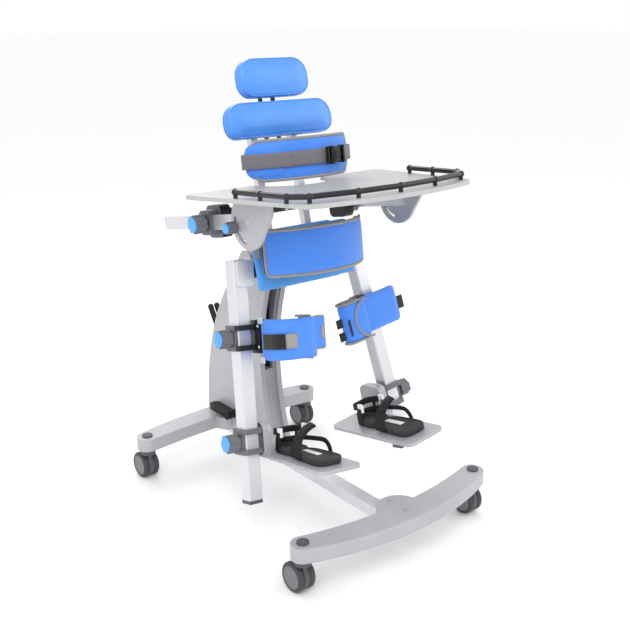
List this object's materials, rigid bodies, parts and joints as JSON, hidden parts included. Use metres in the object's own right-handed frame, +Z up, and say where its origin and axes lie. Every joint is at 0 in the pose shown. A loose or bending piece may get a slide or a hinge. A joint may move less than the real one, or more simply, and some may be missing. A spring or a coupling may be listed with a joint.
{
  "type": "standing frame",
  "caption": "Wheeled standing frame: column base with castors, reclining body frame, splayed legs with knee cups and footplates, trunk and hip belts, chest and head pads, tilting tray",
  "frame": {"origin": "on the floor, at the centre of the base between the castors", "axes": "+Z up, -Y to the front, where the tray is, and +X to the user's left, which is the far side in the picture"},
  "size_m": [0.64, 0.9, 1.1947],
  "materials": {
    "paint_grey": "satin powder coat",
    "alloy": "brushed",
    "board": "fine matt laminate",
    "dark_plastic": "fine matt moulding",
    "dark_paint": "satin powder coat",
    "black_plastic": "satin moulding",
    "wheel_rubber": "matt",
    "blue_cover": "wipe clean woven cover",
    "webbing": "ribbed webbing",
    "sandal_black": "matt"
  },
  "bodies": {
    "base": {"base_spine": "alloy", "front_foot": "paint_grey", "rear_foot": "paint_grey", "column_shell_left": "paint_grey", "column_shell_right": "paint_grey", "column_channel": "black_plastic", "tilt_pin": "alloy", "foot_screws": "alloy"},
    "castor_front_left": {"castor_front_left": "dark_plastic"},
    "wheels_front_left": {"wheels_front_left": "wheel_rubber"},
    "castor_front_right": {"castor_front_right": "dark_plastic"},
    "wheels_front_right": {"wheels_front_right": "wheel_rubber"},
    "castor_rear_left": {"castor_rear_left": "dark_plastic"},
    "wheels_rear_left": {"wheels_rear_left": "wheel_rubber"},
    "castor_rear_right": {"castor_rear_right": "dark_plastic"},
    "wheels_rear_right": {"wheels_rear_right": "wheel_rubber"},
    "tilt_lever": {"tilt_lever": "black_plastic"},
    "lift_pedal": {"lift_pedal": "black_plastic"},
    "body_frame": {"tilt_yoke": "alloy", "hip_crossbar": "alloy", "back_posts": "alloy", "arm_crossbar": "dark_paint", "seat_pad": "blue_cover", "hip_band": "blue_cover", "hip_straps": "webbing", "trunk_band": "blue_cover", "trunk_strap": "webbing", "trunk_buckle": "black_plastic", "arm_clamp_left": "dark_paint", "arm_clamp_right": "dark_paint"},
    "tray_arms": {"tray_arms": "alloy"},
    "tray": {"tray_board": "board", "tray_brackets": "alloy", "tray_rail": "black_plastic"},
    "arm_knob_left": {"arm_knob_left": "dark_plastic"},
    "tray_knob_left": {"tray_knob_left": "dark_plastic"},
    "arm_knob_right": {"arm_knob_right": "dark_plastic"},
    "tray_knob_right": {"tray_knob_right": "dark_plastic"},
    "chest": {"chest_pad": "blue_cover", "chest_carrier": "dark_paint"},
    "head": {"head_pad": "blue_cover", "head_rods": "dark_paint"},
    "leg_left": {"leg_left": "alloy", "hip_bracket_left": "alloy"},
    "knee_left": {"knee_clamp_left": "dark_paint", "knee_pad_left": "blue_cover"},
    "knee_knob_left": {"knee_knob_left": "dark_plastic"},
    "foot_left": {"foot_clamp_left": "dark_paint"},
    "foot_knob_left": {"foot_knob_left": "dark_plastic"},
    "foot_plate_left": {"foot_plate_left": "dark_paint", "sandal_left": "sandal_black"},
    "leg_right": {"leg_right": "alloy", "hip_bracket_right": "alloy"},
    "knee_right": {"knee_clamp_right": "dark_paint", "knee_pad_right": "blue_cover"},
    "knee_knob_right": {"knee_knob_right": "dark_plastic"},
    "foot_right": {"foot_clamp_right": "dark_paint"},
    "foot_knob_right": {"foot_knob_right": "dark_plastic"},
    "foot_plate_right": {"foot_plate_right": "dark_paint", "sandal_right": "sandal_black"}
  },
  "joints": [
    {"name": "swivel_front_left", "type": "hinge", "parent": "base", "child": "castor_front_left", "pos_m": [-0.29, -0.366, 0.11], "axis": [0, 0, 1], "continuous": true},
    {"name": "roll_front_left", "type": "hinge", "parent": "castor_front_left", "child": "wheels_front_left", "pos_m": [-0.29, -0.35, 0.0375], "axis": [1, 0, 0], "continuous": true},
    {"name": "swivel_front_right", "type": "hinge", "parent": "base", "child": "castor_front_right", "pos_m": [0.29, -0.366, 0.11], "axis": [0, 0, 1], "continuous": true},
    {"name": "roll_front_right", "type": "hinge", "parent": "castor_front_right", "child": "wheels_front_right", "pos_m": [0.29, -0.35, 0.0375], "axis": [1, 0, 0], "continuous": true},
    {"name": "swivel_rear_left", "type": "hinge", "parent": "base", "child": "castor_rear_left", "pos_m": [-0.29, 0.366, 0.11], "axis": [0, 0, 1], "continuous": true},
    {"name": "roll_rear_left", "type": "hinge", "parent": "castor_rear_left", "child": "wheels_rear_left", "pos_m": [-0.29, 0.382, 0.0375], "axis": [1, 0, 0], "continuous": true},
    {"name": "swivel_rear_right", "type": "hinge", "parent": "base", "child": "castor_rear_right", "pos_m": [0.29, 0.366, 0.11], "axis": [0, 0, 1], "continuous": true},
    {"name": "roll_rear_right", "type": "hinge", "parent": "castor_rear_right", "child": "wheels_rear_right", "pos_m": [0.29, 0.382, 0.0375], "axis": [1, 0, 0], "continuous": true},
    {"name": "lever_pull", "type": "hinge", "parent": "base", "child": "tilt_lever", "pos_m": [0, 0.386, 0.362], "axis": [1, 0, 0], "range_deg": [-12, 0], "stiffness_Nm_per_rad": 1.2, "springref_deg": 2.86},
    {"name": "pedal_press", "type": "hinge", "parent": "base", "child": "lift_pedal", "pos_m": [-0.05, 0.285, 0.16], "axis": [1, 0, 0], "range_deg": [-8, 0], "stiffness_Nm_per_rad": 6, "springref_deg": 5.73},
    {"name": "body_tilt", "type": "hinge", "parent": "base", "child": "body_frame", "pos_m": [0, 0.215, 0.645], "axis": [1, 0, 0], "range_deg": [-20, 15]},
    {"name": "tray_slide", "type": "slide", "parent": "body_frame", "child": "tray_arms", "axis": [0, -0.9848, 0.1736], "range_m": [0, 0.1]},
    {"name": "tray_tilt", "type": "hinge", "parent": "tray_arms", "child": "tray", "pos_m": [0, -0.1, 0.834], "axis": [1, 0, 0], "range_deg": [-8, 0]},
    {"name": "arm_knob_turn_left", "type": "hinge", "parent": "body_frame", "child": "arm_knob_left", "pos_m": [-0.255, 0.08416, 0.80153], "axis": [-1, 0, 0], "range_deg": [0, 180]},
    {"name": "tray_knob_turn_left", "type": "hinge", "parent": "tray_arms", "child": "tray_knob_left", "pos_m": [-0.255, -0.05364, 0.81527], "axis": [-1, 0, 0], "range_deg": [0, 180]},
    {"name": "arm_knob_turn_right", "type": "hinge", "parent": "body_frame", "child": "arm_knob_right", "pos_m": [0.255, 0.08416, 0.80153], "axis": [1, 0, 0], "range_deg": [0, 180]},
    {"name": "tray_knob_turn_right", "type": "hinge", "parent": "tray_arms", "child": "tray_knob_right", "pos_m": [0.255, -0.05364, 0.81527], "axis": [1, 0, 0], "range_deg": [0, 180]},
    {"name": "chest_slide", "type": "slide", "parent": "body_frame", "child": "chest", "axis": [0, 0.2605, 0.9655], "range_m": [-0.025, 0.03]},
    {"name": "head_slide", "type": "slide", "parent": "chest", "child": "head", "axis": [0, 0.2605, 0.9655], "range_m": [0, 0.05]},
    {"name": "leg_abduct_left", "type": "hinge", "parent": "body_frame", "child": "leg_left", "pos_m": [-0.15, 0.04534, 0.66789], "axis": [0, 0.9655, -0.2605], "range_deg": [-6, 10]},
    {"name": "knee_slide_left", "type": "slide", "parent": "leg_left", "child": "knee_left", "axis": [0.1184, 0.2587, 0.9587], "range_m": [-0.06, 0.03]},
    {"name": "knee_knob_turn_left", "type": "hinge", "parent": "knee_left", "child": "knee_knob_left", "pos_m": [-0.2563, -0.01381, 0.52544], "axis": [-0.993, 0.0308, 0.1143], "range_deg": [0, 180]},
    {"name": "foot_slide_left", "type": "slide", "parent": "leg_left", "child": "foot_left", "axis": [0.1184, 0.2587, 0.9587], "range_m": [-0.03, 0.06]},
    {"name": "foot_knob_turn_left", "type": "hinge", "parent": "foot_left", "child": "foot_knob_left", "pos_m": [-0.2872, -0.08133, 0.27523], "axis": [-0.993, 0.0308, 0.1143], "range_deg": [0, 180]},
    {"name": "foot_pitch_left", "type": "hinge", "parent": "foot_left", "child": "foot_plate_left", "pos_m": [-0.19783, -0.06866, 0.26077], "axis": [0.993, -0.0308, -0.1143], "range_deg": [-12, 12]},
    {"name": "leg_abduct_right", "type": "hinge", "parent": "body_frame", "child": "leg_right", "pos_m": [0.15, 0.04534, 0.66789], "axis": [0, -0.9655, 0.2605], "range_deg": [-6, 10]},
    {"name": "knee_slide_right", "type": "slide", "parent": "leg_right", "child": "knee_right", "axis": [-0.1184, 0.2587, 0.9587], "range_m": [-0.06, 0.03]},
    {"name": "knee_knob_turn_right", "type": "hinge", "parent": "knee_right", "child": "knee_knob_right", "pos_m": [0.2563, -0.01381, 0.52544], "axis": [0.993, 0.0308, 0.1143], "range_deg": [0, 180]},
    {"name": "foot_slide_right", "type": "slide", "parent": "leg_right", "child": "foot_right", "axis": [-0.1184, 0.2587, 0.9587], "range_m": [-0.03, 0.06]},
    {"name": "foot_knob_turn_right", "type": "hinge", "parent": "foot_right", "child": "foot_knob_right", "pos_m": [0.2872, -0.08133, 0.27523], "axis": [0.993, 0.0308, 0.1143], "range_deg": [0, 180]},
    {"name": "foot_pitch_right", "type": "hinge", "parent": "foot_right", "child": "foot_plate_right", "pos_m": [0.19783, -0.06866, 0.26077], "axis": [0.993, 0.0308, 0.1143], "range_deg": [-12, 12]}
  ]
}
